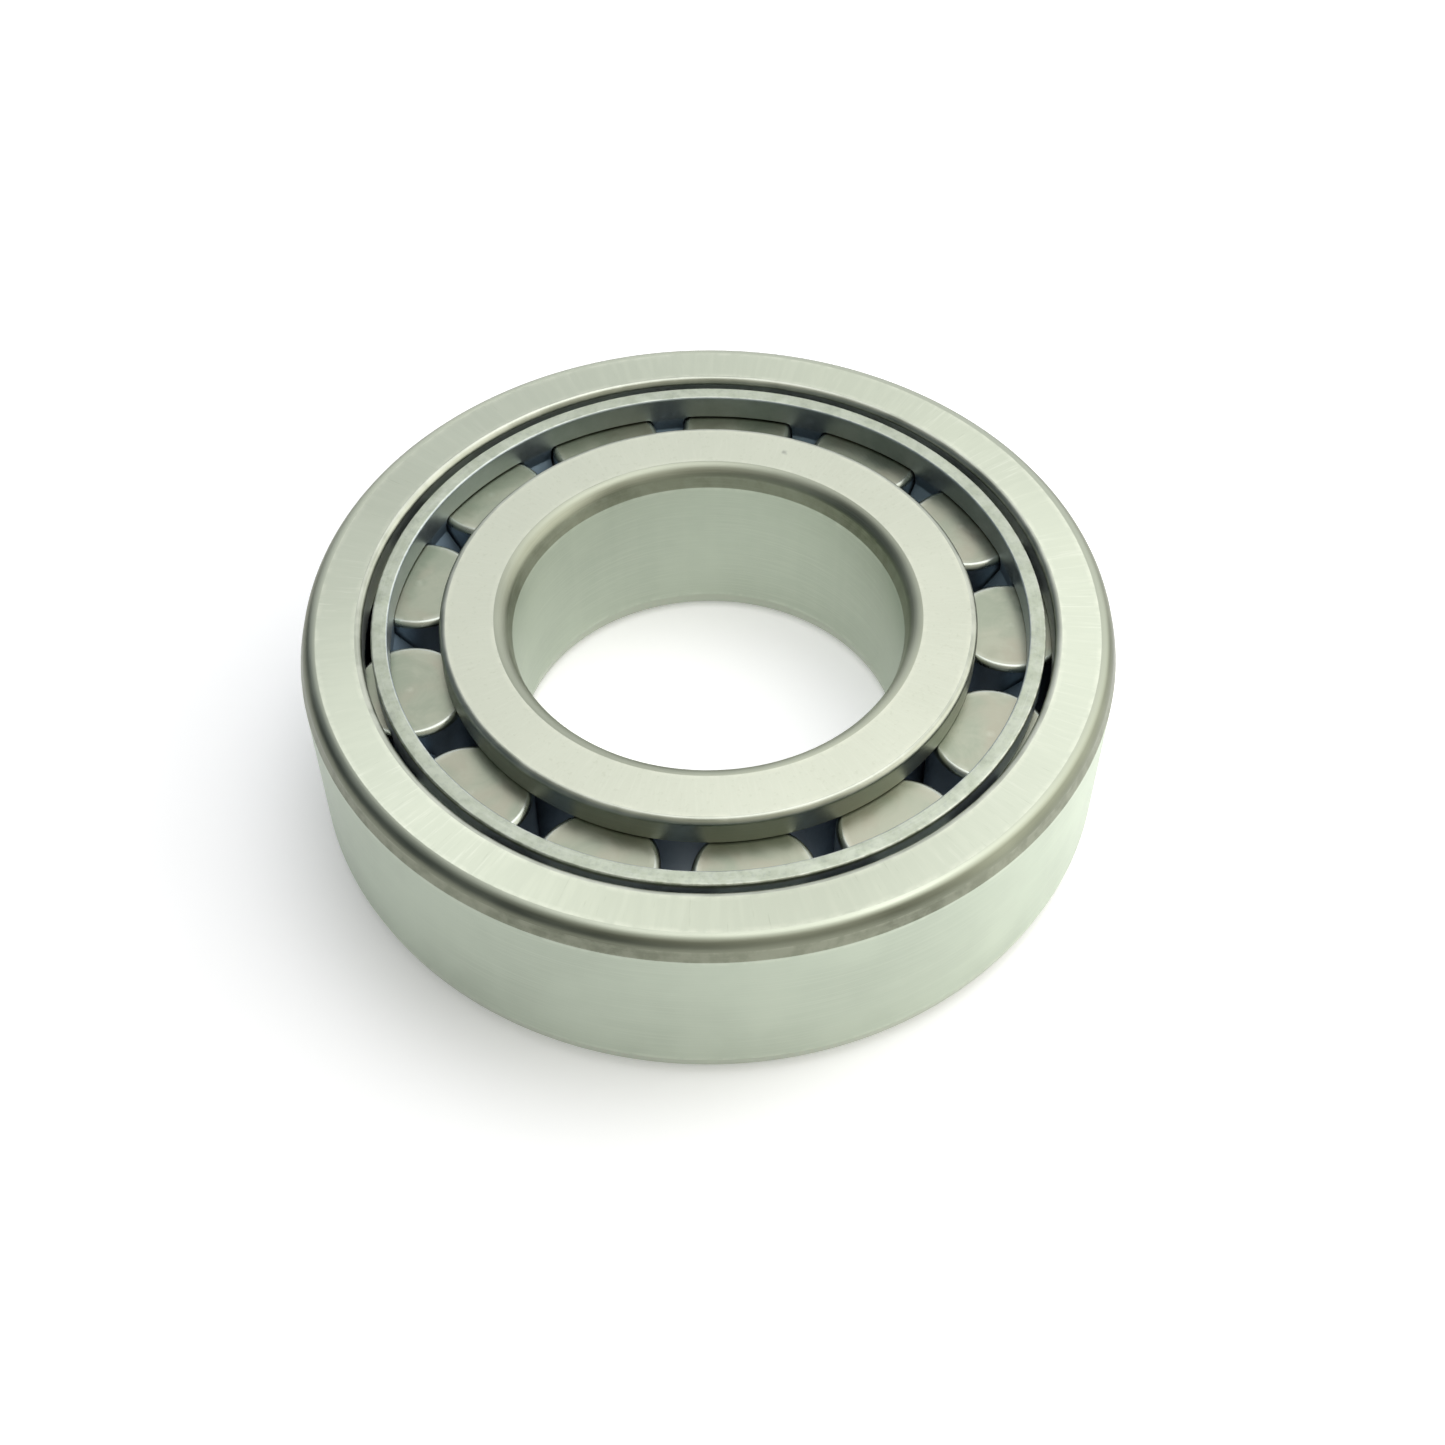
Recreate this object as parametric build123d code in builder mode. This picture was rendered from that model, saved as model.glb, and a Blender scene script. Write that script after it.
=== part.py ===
from build123d import *
from math import radians, tan
import os

os.makedirs("parts", exist_ok=True)

# Single-row cylindrical roller bearing, 30 x 62 x 16 mm, in millimetres.
# The origin is the bearing's centre, and +Z is its axis, towards the rib of the inner ring.

# Boundary dimensions
bore_diameter = 30.0
outside_diameter = 62.0
width = 16.0
corner_radius = 1.1
corner_lead_angle = 15.0
corner_length = 1.75

# Rollers and raceways
roller_count = 13
roller_diameter = 9.0
roller_length = 11.0
roller_corner = 0.45
inner_raceway_diameter = 37.5
raceway_clearance = 0.02
rib_side_clearance = 0.05
relief_groove_radius = 0.3

# Ribs that guide the roller ends
outer_rib_bore = 52.5
inner_rib_diameter = 40.9
rib_edge_radius = 0.5
rib_inner_edge_break = 0.15
raceway_end_radius = 0.7

# Cage, pressed from one sheet
cage_outside_diameter = 51.2
cage_sheet = 1.25
cage_setback = 0.3
rim_edge_radius = 0.25
pocket_side_clearance = 0.05
pocket_end_clearance = 0.15
pocket_corner_radius = 0.5
bar_width = 1.92
bar_press_depth = 1.7
bar_land_length = 5.0
bar_slope = 45.0
bar_root_length = 1.0

# Worked out from the above
half_width = width / 2
bore_radius = bore_diameter / 2
outside_radius = outside_diameter / 2
corner_depth = corner_length * tan(radians(corner_lead_angle))
half_seat = half_width - corner_length
pitch_radius = (inner_raceway_diameter + roller_diameter) / 2
inner_raceway_radius = inner_raceway_diameter / 2 - raceway_clearance
outer_raceway_radius = pitch_radius + roller_diameter / 2 + raceway_clearance
half_raceway = roller_length / 2 + rib_side_clearance
outer_rib_radius = outer_rib_bore / 2
inner_rib_radius = inner_rib_diameter / 2
cage_outside_radius = cage_outside_diameter / 2
cage_inside_radius = cage_outside_radius - cage_sheet
cage_half_length = half_width - cage_setback
half_pocket = roller_length / 2 + pocket_end_clearance
pocket_width = roller_diameter + 2 * pocket_side_clearance
roller_step = 360 / roller_count


# Outer ring: a plain cylinder outside, and a raceway between two ribs inside.
# Each outside corner is a radius that runs into a short lead cone.
with BuildPart() as outer_ring:
    with BuildSketch(Plane.XZ) as outer_section:
        with BuildLine():
            Polyline(
                (outside_radius, -half_seat),
                (outside_radius, half_seat),
                (outside_radius - corner_depth, half_width),
                (outer_rib_radius, half_width),
                (outer_rib_radius, half_raceway),
                (outer_raceway_radius, half_raceway),
                (outer_raceway_radius, -half_raceway),
                (outer_rib_radius, -half_raceway),
                (outer_rib_radius, -half_width),
                (outside_radius - corner_depth, -half_width),
                close=True,
            )
        make_face()
        for face_index in (0, -1):
            face_vertices = outer_section.vertices().group_by(Axis.Y)[face_index].sort_by(Axis.X)
            fillet(face_vertices[0], rib_edge_radius)
            face_vertices = outer_section.vertices().group_by(Axis.Y)[face_index].sort_by(Axis.X)
            fillet(face_vertices[-1], corner_radius)
        with Locations((outer_raceway_radius, half_raceway), (outer_raceway_radius, -half_raceway)):
            Circle(relief_groove_radius, mode=Mode.SUBTRACT)
    revolve(axis=Axis.Z)
outer_ring.part.label = "outer_ring"
export_step(outer_ring.part, "parts/outer_ring.step")


# Inner ring: one rib at the +Z end, and a raceway that runs out plain at the other end
with BuildPart() as inner_ring:
    with BuildSketch(Plane.XZ) as inner_section:
        with BuildLine():
            Polyline(
                (bore_radius, half_seat),
                (bore_radius, -half_seat),
                (bore_radius + corner_depth, -half_width),
                (inner_raceway_radius, -half_width),
                (inner_raceway_radius, half_raceway),
                (inner_rib_radius, half_raceway),
                (inner_rib_radius, half_width),
                (bore_radius + corner_depth, half_width),
                close=True,
            )
        make_face()
        for face_index, tip_radius in ((0, raceway_end_radius), (-1, rib_edge_radius)):
            face_vertices = inner_section.vertices().group_by(Axis.Y)[face_index].sort_by(Axis.X)
            fillet(face_vertices[-1], tip_radius)
            face_vertices = inner_section.vertices().group_by(Axis.Y)[face_index].sort_by(Axis.X)
            fillet(face_vertices[0], corner_radius)
        rib_vertices = inner_section.vertices().group_by(Axis.X)[-1].sort_by(Axis.Y)
        fillet(rib_vertices[0], rib_inner_edge_break)
        with Locations((inner_raceway_radius, half_raceway)):
            Circle(relief_groove_radius, mode=Mode.SUBTRACT)
    revolve(axis=Axis.Z)
inner_ring.part.label = "inner_ring"
export_step(inner_ring.part, "parts/inner_ring.step")


# Cage: a sleeve with one pocket for each roller, its bars pressed inward to the pitch circle
bend_shift = cage_sheet * tan(radians(bar_slope) / 2)
slope_length = bar_press_depth / tan(radians(bar_slope))
half_land = bar_land_length / 2
bend_start = half_land + slope_length
root_start = half_pocket - bar_root_length
bar_outline = [
    (cage_outside_radius, half_pocket),
    (cage_outside_radius, bend_start),
    (cage_outside_radius - bar_press_depth, half_land),
    (cage_outside_radius - bar_press_depth, -half_land),
    (cage_outside_radius, -bend_start),
    (cage_outside_radius, -half_pocket),
    (cage_inside_radius, -half_pocket),
    (cage_inside_radius, -bend_start - bend_shift),
    (cage_inside_radius - bar_press_depth, -half_land - bend_shift),
    (cage_inside_radius - bar_press_depth, half_land + bend_shift),
    (cage_inside_radius, bend_start + bend_shift),
    (cage_inside_radius, half_pocket),
]

with BuildPart() as cage:
    with BuildSketch(Plane.XZ) as rim_section:
        with Locations((cage_inside_radius + cage_sheet / 2, 0)):
            Rectangle(cage_sheet, 2 * cage_half_length)
        fillet(rim_section.vertices(), rim_edge_radius)
    revolve(axis=Axis.Z)
    for roller_number in range(roller_count):
        pocket_plane = Plane.YZ.rotated((0, 0, roller_number * roller_step))
        with BuildSketch(pocket_plane):
            RectangleRounded(pocket_width, 2 * half_pocket, pocket_corner_radius)
        extrude(amount=cage_outside_radius + cage_sheet, mode=Mode.SUBTRACT)
    with BuildSketch(Plane.XZ):
        with Locations((cage_inside_radius + cage_sheet / 2, 0)):
            Rectangle(2 * cage_sheet, 2 * root_start)
    revolve(axis=Axis.Z, mode=Mode.SUBTRACT)
    for bar_number in range(roller_count):
        bar_plane = Plane.XZ.rotated((0, 0, (bar_number + 0.5) * roller_step))
        with BuildSketch(bar_plane):
            with BuildLine():
                Polyline(*bar_outline, close=True)
            make_face()
        extrude(amount=bar_width / 2, both=True)
cage.part.label = "cage"
export_step(cage.part, "parts/cage.step")


# Rollers: one plain cylinder with rounded ends in each pocket
for roller_number in range(roller_count):
    roller_name = f"roller_{roller_number + 1:02d}"
    roller_centre = Vector(pitch_radius, 0, -roller_length / 2).rotate(Axis.Z, roller_number * roller_step)
    with BuildPart() as roller:
        with BuildSketch(Plane(origin=roller_centre)):
            Circle(roller_diameter / 2)
        extrude(amount=roller_length)
        fillet(roller.edges().filter_by(GeomType.CIRCLE), roller_corner)
    roller.part.label = roller_name
    export_step(roller.part, f"parts/{roller_name}.step")
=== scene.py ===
import math
import random
import bmesh
import bpy
import numpy as np
from mathutils import Matrix, Vector


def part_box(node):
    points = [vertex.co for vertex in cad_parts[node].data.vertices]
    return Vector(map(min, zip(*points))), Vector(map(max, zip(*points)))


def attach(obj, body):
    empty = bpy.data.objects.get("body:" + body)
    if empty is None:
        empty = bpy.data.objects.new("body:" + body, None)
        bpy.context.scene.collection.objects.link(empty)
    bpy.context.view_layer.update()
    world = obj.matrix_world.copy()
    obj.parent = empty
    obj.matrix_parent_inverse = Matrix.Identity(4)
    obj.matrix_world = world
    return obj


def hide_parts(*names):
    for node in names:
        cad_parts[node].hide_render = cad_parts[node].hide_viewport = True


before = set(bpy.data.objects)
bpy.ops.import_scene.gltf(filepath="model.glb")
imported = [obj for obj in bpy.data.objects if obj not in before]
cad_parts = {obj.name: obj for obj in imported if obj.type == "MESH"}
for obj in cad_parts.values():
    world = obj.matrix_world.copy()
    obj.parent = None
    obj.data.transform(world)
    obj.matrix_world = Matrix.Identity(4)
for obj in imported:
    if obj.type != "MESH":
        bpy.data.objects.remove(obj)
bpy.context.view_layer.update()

# Cylindrical roller bearing. Lengths in this script are millimetres until a mesh is made.
# The bearing's centre is the origin and +Z is its axis, towards the rib of the inner ring.
MM = 0.001

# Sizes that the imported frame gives
outer_box_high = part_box("outer_ring")[1] / MM
inner_box_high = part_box("inner_ring")[1] / MM
cage_box_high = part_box("cage")[1] / MM
roller_box_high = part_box("roller_01")[1] / MM
HALF_WIDTH = outer_box_high.z
OUTSIDE_RADIUS = outer_box_high.x
INNER_RIB_RADIUS = inner_box_high.x
CAGE_OUTSIDE_RADIUS = cage_box_high.x
CAGE_HALF_LENGTH = cage_box_high.z
ROLLER_HALF_LENGTH = roller_box_high.z
ROLLER_NAMES = sorted(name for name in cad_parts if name.startswith("roller_"))

# Sizes of the section that the boxes don't give
ROLLER_RADIUS = 4.5
ROLLER_CORNER = 0.45
BORE_RADIUS = 15.0
CORNER_RADIUS = 1.1
CORNER_LENGTH = 1.75
CORNER_LEAD_ANGLE = math.radians(15)
RACEWAY_CLEARANCE = 0.02
RIB_SIDE_CLEARANCE = 0.05
RELIEF_GROOVE_RADIUS = 0.3
OUTER_RIB_RADIUS = 26.25
RIB_EDGE_RADIUS = 0.5
RIB_INNER_EDGE = 0.15
RACEWAY_END_RADIUS = 0.7
SEAT_EDGE_RADIUS = 0.25
CAGE_SHEET = 1.25
CAGE_RIM_EDGE = 0.18
CAGE_WINDOW_EDGE = 0.08
POCKET_HALF_WIDTH = 4.55
POCKET_HALF_LENGTH = ROLLER_HALF_LENGTH + 0.1
POCKET_CORNER = 0.5
POCKET_ROOT = POCKET_HALF_LENGTH - POCKET_CORNER
BAR_CLEARANCE = 0.1
BAR_PRESS_DEPTH = 1.7
BAR_HALF_LAND = 2.5
BAR_BEND_RADIUS = 0.8

# Worked out from the above
PITCH_RADIUS = roller_box_high.x - ROLLER_RADIUS
ROLLER_STEP = 2 * math.pi / len(ROLLER_NAMES)
INNER_RACEWAY_RADIUS = PITCH_RADIUS - ROLLER_RADIUS - RACEWAY_CLEARANCE
OUTER_RACEWAY_RADIUS = PITCH_RADIUS + ROLLER_RADIUS + RACEWAY_CLEARANCE
HALF_RACEWAY = ROLLER_HALF_LENGTH + RIB_SIDE_CLEARANCE
HALF_SEAT = HALF_WIDTH - CORNER_LENGTH
CORNER_DEPTH = CORNER_LENGTH * math.tan(CORNER_LEAD_ANGLE)
CAGE_MIDDLE_RADIUS = CAGE_OUTSIDE_RADIUS - CAGE_SHEET / 2
SHEET_SURFACES = (CAGE_SHEET / 2, -CAGE_SHEET / 2)

# Fineness of the meshes
OUTER_RING_STEPS = 384
INNER_RING_STEPS = 320
ROLLER_STEPS = 96
ARC_STEP = math.radians(9)
EDGE_SUPPORTS = (0.04, 0.16, 0.4)
SUPPORT_SHARE = 0.4
POCKET_STEPS = 6
BAR_PATH_STEP = 0.03
BEVEL_STEPS = 4
RIM_STOPS = (0.0, 0.18, 0.5, 0.82, 1.0)
BAR_STOPS = (-1.0, -0.62, -0.2, 0.2, 0.62, 1.0)

# Each roller's grain is moved by chance, up to a spread in millimetres
GRAIN_SEED = 13
GRAIN_SPREAD = 60

# Where the materials change, in millimetres
WEAR_REACH = 0.4
SHOULDER_FADE = (HALF_WIDTH - 0.24, HALF_WIDTH - 0.02)
# Painted light: the lower corners turn brighter over this span of height
LOWER_CORNER_PAINTED_LIGHT_FADE = (-2.0, -4.0)
# Painted sheen on the outer face rises across this span of distance from the middle, to the left and right
SIDE_SHEEN_FADE = (8.0, 22.0)
NICK_PLACE = (6.5, 17.2, HALF_WIDTH)
NICK_FADE = (0.5, 0.25)
TRACK_FADE = (5.1, 4.6)
CAGE_BORE_FADE = (CAGE_OUTSIDE_RADIUS - 1.12, CAGE_OUTSIDE_RADIUS - 1.22)
# Painted light on the cage's outside between its rims fades in over this span of radius
CAGE_SKIN_PAINTED_LIGHT_FADE = (CAGE_OUTSIDE_RADIUS - 0.12, CAGE_OUTSIDE_RADIUS - 0.02)
CAGE_RIM_FADE = (CAGE_HALF_LENGTH - 0.2, CAGE_HALF_LENGTH - 0.5)
# Painted shade on the cage at its pockets and bars fades in over this span of height
CAGE_PAINTED_SHADE_FADE = (5.7, 5.2)

# The photographer's place, from the bearing's centre. The clip range is in metres.
CAMERA_TURN = math.radians(-1.3)
CAMERA_DROP = math.radians(50.01)
CAMERA_OFFSET = Vector((1.07, -108.12, 123.35))
CAMERA_LENS = 51.75
CAMERA_SENSOR = 36.0
CAMERA_CLIP = (0.005, 10.0)


# ---------------------------------------------------------------- outlines

def left_of(direction):
    """The direction a quarter turn to the left."""
    return (-direction[1], direction[0])


def toward(a, b):
    """Unit direction from a to b."""
    length = math.hypot(b[0] - a[0], b[1] - a[1])
    return ((b[0] - a[0]) / length, (b[1] - a[1]) / length)


def arc_section(centre, radius, start, sweep, outward, slot):
    """Points and normals along an arc. outward is 1 with the metal inside it, and -1 with it outside."""
    count = max(2, math.ceil(abs(sweep) / ARC_STEP))
    points, normals = [], []
    for i in range(count + 1):
        angle = start + sweep * i / count
        ray = (math.cos(angle), math.sin(angle))
        points.append((centre[0] + radius * ray[0], centre[1] + radius * ray[1]))
        normals.append((outward * ray[0], outward * ray[1]))
    return {"points": points, "normals": normals, "slot": slot}


def side_section(a, b, slot):
    """Points and normals along a straight side, closer together near its two ends."""
    length = math.hypot(b[0] - a[0], b[1] - a[1])
    direction = toward(a, b)
    near = [s for s in EDGE_SUPPORTS if s < SUPPORT_SHARE * length]
    stops = [0.0, *near, *(length - s for s in reversed(near)), length]
    points = [(a[0] + direction[0] * s, a[1] + direction[1] * s) for s in stops]
    return {"points": points, "normals": [(direction[1], -direction[0])] * len(points), "slot": slot}


def outline(corners, closed=True):
    """The sections of an outline whose metal is on its left. A corner is (r, z, radius, slot of the corner,
    slot of the side after it). A radius below 0 is a relief groove, and 0 is an open outline's end."""
    count = len(corners)
    joints = []
    for i, (r, z, radius, corner_slot, _side_slot) in enumerate(corners):
        if not closed and i in (0, count - 1):
            joints.append(((r, z), (r, z), None))
            continue
        before, after = corners[i - 1], corners[(i + 1) % count]
        arriving = toward(before[:2], (r, z))
        leaving = toward((r, z), after[:2])
        cross = arriving[0] * leaving[1] - arriving[1] * leaving[0]
        turn = math.atan2(cross, arriving[0] * leaving[0] + arriving[1] * leaving[1])
        if radius < 0:
            reach = -radius
            start = (r - arriving[0] * reach, z - arriving[1] * reach)
            end = (r + leaving[0] * reach, z + leaving[1] * reach)
            first_angle = math.atan2(-arriving[1], -arriving[0])
            last_angle = math.atan2(leaving[1], leaving[0])
            sweep = -((first_angle - last_angle) % (2 * math.pi))
            arc = arc_section((r, z), reach, first_angle, sweep, -1, corner_slot)
        else:
            reach = radius * math.tan(abs(turn) / 2)
            start = (r - arriving[0] * reach, z - arriving[1] * reach)
            end = (r + leaving[0] * reach, z + leaving[1] * reach)
            side = 1 if turn > 0 else -1
            inward = left_of(arriving)
            centre = (start[0] + side * radius * inward[0], start[1] + side * radius * inward[1])
            first_angle = math.atan2(start[1] - centre[1], start[0] - centre[0])
            arc = arc_section(centre, radius, first_angle, turn, side, corner_slot)
        arc["points"][0], arc["points"][-1] = start, end
        joints.append((start, end, arc))
    sections = []
    for i in range(count if closed else count - 1):
        if joints[i][2] is not None:
            sections.append(joints[i][2])
        sections.append(side_section(joints[i][1], joints[(i + 1) % count][0], corners[i][4]))
    return sections


def edge_wear(sections, closed):
    """Wear at each point of the outline. It rises to 1 towards the ends of a straight side, and is 0 on an
    edge radius and away from the ends."""
    wear = []
    for section in sections:
        points = section["points"]
        travel = [0.0]
        for a, b in zip(points, points[1:]):
            travel.append(travel[-1] + math.hypot(b[0] - a[0], b[1] - a[1]))
        bent = section["normals"][0] != section["normals"][-1]
        for s in travel[:-1]:
            gap = min(s, travel[-1] - s)
            wear.append(0.0 if bent else max(0.0, 1 - gap / WEAR_REACH))
    if not closed:
        wear.append(0.0)
    return wear


# ---------------------------------------------------------------- meshes

def store_texture_space(mesh, wear, shift=(0.0, 0.0, 0.0)):
    """Writes what the materials read: each point's place in millimetres about the piece's own axis, the same
    place moved for the grain, and its edge wear."""
    count = len(mesh.vertices)
    places = np.empty(count * 3, np.float32)
    mesh.vertices.foreach_get("co", places)
    places = places.reshape(-1, 3) / MM
    mesh.attributes.new("local", "FLOAT_VECTOR", "POINT").data.foreach_set("vector", places.ravel())
    grain = places + np.array(shift, np.float32)
    mesh.attributes.new("grain", "FLOAT_VECTOR", "POINT").data.foreach_set("vector", grain.ravel())
    mesh.attributes.new("wear", "FLOAT", "POINT").data.foreach_set("value", np.asarray(wear, np.float32))


def turned_mesh(name, sections, steps, closed=True, shift=(0.0, 0.0, 0.0)):
    """A mesh turned about Z from an outline, with exact normals. An open outline ends on the axis."""
    rings, spans = [], []
    for section in sections:
        points, normals = section["points"], section["normals"]
        for i in range(len(points) - 1):
            rings.append(points[i])
            spans.append((normals[i], normals[i + 1], section["slot"]))
    if not closed:
        rings.append(sections[-1]["points"][-1])
    angles = [2 * math.pi * j / steps for j in range(steps)]
    wear_of_ring = edge_wear(sections, closed)
    vertices, first, wear = [], [], []
    for i, (r, z) in enumerate(rings):
        first.append(len(vertices))
        if not closed and i in (0, len(rings) - 1):
            vertices.append((0.0, 0.0, z * MM))
            wear.append(0.0)
            continue
        vertices.extend((r * MM * math.cos(a), r * MM * math.sin(a), z * MM) for a in angles)
        wear.extend([wear_of_ring[i]] * steps)
    faces, slots, normals = [], [], []
    for i, (start_normal, end_normal, slot) in enumerate(spans):
        k = (i + 1) % len(rings)
        at_start = not closed and i == 0
        at_end = not closed and k == len(rings) - 1
        for j in range(steps):
            next_j = (j + 1) % steps
            a, b = angles[j], angles[j] + 2 * math.pi / steps
            low = [(first[i] + j, start_normal, a), (first[i] + next_j, start_normal, b)]
            high = [(first[k] + next_j, end_normal, b), (first[k] + j, end_normal, a)]
            if at_start:
                low = [(first[i], start_normal, a)]
            if at_end:
                high = [(first[k], end_normal, a)]
            ring = low + high
            faces.append([index for index, _n, _angle in ring])
            slots.append(slot)
            normals.extend((n[0] * math.cos(t), n[0] * math.sin(t), n[1]) for _index, n, t in ring)
    mesh = bpy.data.meshes.new(name)
    mesh.from_pydata(vertices, [], faces)
    mesh.polygons.foreach_set("use_smooth", [True] * len(faces))
    mesh.polygons.foreach_set("material_index", slots)
    mesh.normals_split_custom_set(normals)
    store_texture_space(mesh, wear, shift)
    return mesh


def new_piece(name, mesh, materials, node):
    """Puts a mesh in the scene as its CAD node's stand-in, and hides that node."""
    for material in materials:
        mesh.materials.append(material)
    piece = bpy.data.objects.new(name, mesh)
    bpy.context.scene.collection.objects.link(piece)
    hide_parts(node)
    return piece


# ---------------------------------------------------------------- node helpers

class Nodes:
    """A node tree with short ways to add to it. A value is a number, a tuple or another node's output."""

    def __init__(self, tree):
        self.tree = tree
        self.tree.nodes.clear()

    def add(self, kind, **settings):
        node = self.tree.nodes.new("ShaderNode" + kind)
        for key, value in settings.items():
            setattr(node, key, value)
        return node

    def put(self, socket, value):
        if isinstance(value, bpy.types.NodeSocket):
            self.tree.links.new(value, socket)
        else:
            socket.default_value = value

    def attribute(self, name, output="Vector"):
        return self.add("Attribute", attribute_name=name).outputs[output]

    def maths(self, operation, a, b=0.0):
        node = self.add("Math", operation=operation)
        self.put(node.inputs[0], a)
        self.put(node.inputs[1], b)
        return node.outputs[0]

    def vector(self, operation, a, b=(0.0, 0.0, 0.0), output=0):
        node = self.add("VectorMath", operation=operation)
        self.put(node.inputs[0], a)
        self.put(node.inputs[1], b)
        return node.outputs[output]

    def scaled(self, a, scale):
        node = self.add("VectorMath", operation="SCALE")
        self.put(node.inputs[0], a)
        self.put(node.inputs["Scale"], scale)
        return node.outputs[0]

    def split(self, vector):
        node = self.add("SeparateXYZ")
        self.put(node.inputs[0], vector)
        return node.outputs[0], node.outputs[1], node.outputs[2]

    def join(self, x, y, z):
        node = self.add("CombineXYZ")
        for socket, value in zip(node.inputs, (x, y, z)):
            self.put(socket, value)
        return node.outputs[0]

    def noise(self, vector, scale=1.0, detail=3.0, rough=0.5, warp=0.0):
        node = self.add("TexNoise", noise_dimensions="3D")
        self.put(node.inputs["Vector"], vector)
        node.inputs["Scale"].default_value = scale
        node.inputs["Detail"].default_value = detail
        node.inputs["Roughness"].default_value = rough
        node.inputs["Distortion"].default_value = warp
        return node.outputs[0]

    def ramp(self, value, low, high, out_low=0.0, out_high=1.0):
        """A smooth step from out_low, where the value is low, to out_high, where it is high."""
        node = self.add("MapRange", interpolation_type="SMOOTHSTEP")
        self.put(node.inputs["Value"], value)
        ends = {"From Min": low, "From Max": high, "To Min": out_low, "To Max": out_high}
        for key, number in ends.items():
            node.inputs[key].default_value = number
        return node.outputs["Result"]

    def mix(self, factor, a, b):
        node = self.add("Mix", data_type="RGBA", clamp_factor=True)
        self.put(node.inputs["Factor"], factor)
        self.put(node.inputs[6], a)
        self.put(node.inputs[7], b)
        return node.outputs[2]

    def bump(self, height, distance):
        """Raises the surface by height times distance, in millimetres."""
        node = self.add("Bump")
        node.inputs["Distance"].default_value = distance * MM
        self.put(node.inputs["Height"], height)
        return node.outputs[0]

    def output(self, shader, kind="OutputMaterial"):
        """Joins the shader to the tree's output."""
        self.tree.links.new(shader.outputs[0], self.add(kind).inputs["Surface"])


def polar(n):
    """Radius, unit direction from the axis and height, from the place stored on the mesh."""
    x, y, z = n.split(n.attribute("local"))
    flat = n.join(x, y, 0.0)
    radius = n.vector("LENGTH", flat, output="Value")
    return radius, n.vector("NORMALIZE", flat), z


def along_turn(n, around, across):
    """Noise space for marks that run round the axis: slow round it, and fast across."""
    radius, direction, z = polar(n)
    x, y, _z = n.split(n.scaled(direction, around))
    return n.join(x, y, n.maths("MULTIPLY", n.maths("ADD", radius, n.maths("MULTIPLY", z, 0.83)), across))


def across_turn(n, around, across):
    """Noise space for marks that run out from the axis: fast round it, and slow along the radius."""
    radius, direction, _z = polar(n)
    x, y, _z2 = n.split(n.scaled(direction, around))
    return n.join(x, y, n.maths("MULTIPLY", radius, across))


def metal(name, build, anisotropy=0.0, turned=False):
    """A metal material: build(n) gives its colour, roughness and normal. Its fine marks run out from the
    axis, or round it where the surface is turned."""
    material = bpy.data.materials.new(name)
    material.use_nodes = True
    n = Nodes(material.node_tree)
    colour, roughness, normal = build(n)
    shader = n.add("BsdfPrincipled")
    shader.inputs["Metallic"].default_value = 1.0
    if anisotropy:
        n.put(shader.inputs["Tangent"], n.add("Tangent", direction_type="RADIAL", axis="Z").outputs[0])
        shader.inputs["Anisotropic"].default_value = anisotropy
        shader.inputs["Anisotropic Rotation"].default_value = 0.25 if turned else 0.0
    n.put(shader.inputs["Base Color"], colour)
    n.put(shader.inputs["Roughness"], roughness)
    n.put(shader.inputs["Normal"], normal)
    n.output(shader)
    return material


# ---------------------------------------------------------------- materials

def worn(n, colour, bright, amount):
    """Mixes in a brighter colour where the edge is worn, broken up by noise."""
    wear = n.attribute("wear", "Fac")
    patches = n.noise(n.attribute("grain"), 0.9, 4.0, 0.6)
    rub = n.maths("MULTIPLY", wear, n.ramp(patches, 0.35, 0.62))
    return n.mix(n.maths("MULTIPLY", rub, amount), colour, bright)


def outer_face_steel():
    """Ground side face of the outer ring, with short grinding marks that run out from the axis. Towards the
    left and right sides its marks are stronger and its tone lighter: painted sheen of their glints.
    """

    def build(n):
        clouds = n.noise(n.attribute("grain"), 0.11, 3.0, 0.55)
        fine = n.noise(across_turn(n, 120.0, 0.22), 1.0, 3.0, 0.6, warp=0.5)
        broad = n.noise(across_turn(n, 46.0, 0.2), 1.0, 2.0, 0.5)
        patches = n.noise(n.attribute("grain"), 0.16, 2.0, 0.5, warp=0.6)
        x, _y, _z = n.split(n.attribute("local"))
        # Painted sheen: the marks and the tone are made brighter towards the left and right sides
        sides = n.ramp(n.maths("ABSOLUTE", x), *SIDE_SHEEN_FADE, 0.25, 1.0)
        strokes = n.maths("MULTIPLY", n.ramp(fine, 0.52, 0.74), n.ramp(patches, 0.38, 0.62, 0.1, 1.0))
        strokes = n.maths("MULTIPLY", strokes, sides)
        colour = n.mix(clouds, (0.405, 0.435, 0.34, 1), (0.465, 0.495, 0.39, 1))
        colour = n.mix(n.ramp(broad, 0.4, 0.7, 0.0, 0.4), colour, (0.49, 0.52, 0.41, 1))
        colour = n.mix(n.maths("MULTIPLY", sides, 0.4), colour, (0.485, 0.518, 0.415, 1))
        colour = n.mix(n.maths("MULTIPLY", strokes, 0.42), colour, (0.62, 0.64, 0.54, 1))
        scores = n.ramp(n.noise(across_turn(n, 210.0, 0.4), 1.0, 2.0, 0.5), 0.33, 0.22)
        colour = n.mix(n.maths("MULTIPLY", scores, 0.3), colour, (0.26, 0.28, 0.2, 1))
        colour = worn(n, colour, (0.6, 0.62, 0.5, 1), 0.5)
        roughness = n.maths("ADD", n.ramp(clouds, 0.3, 0.7, 0.3, 0.36), n.maths("MULTIPLY", strokes, 0.06))
        return colour, roughness, n.bump(n.maths("ADD", n.maths("MULTIPLY", fine, sides), broad), 0.005)

    return metal("outer_face_steel", build, anisotropy=0.74)


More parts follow.
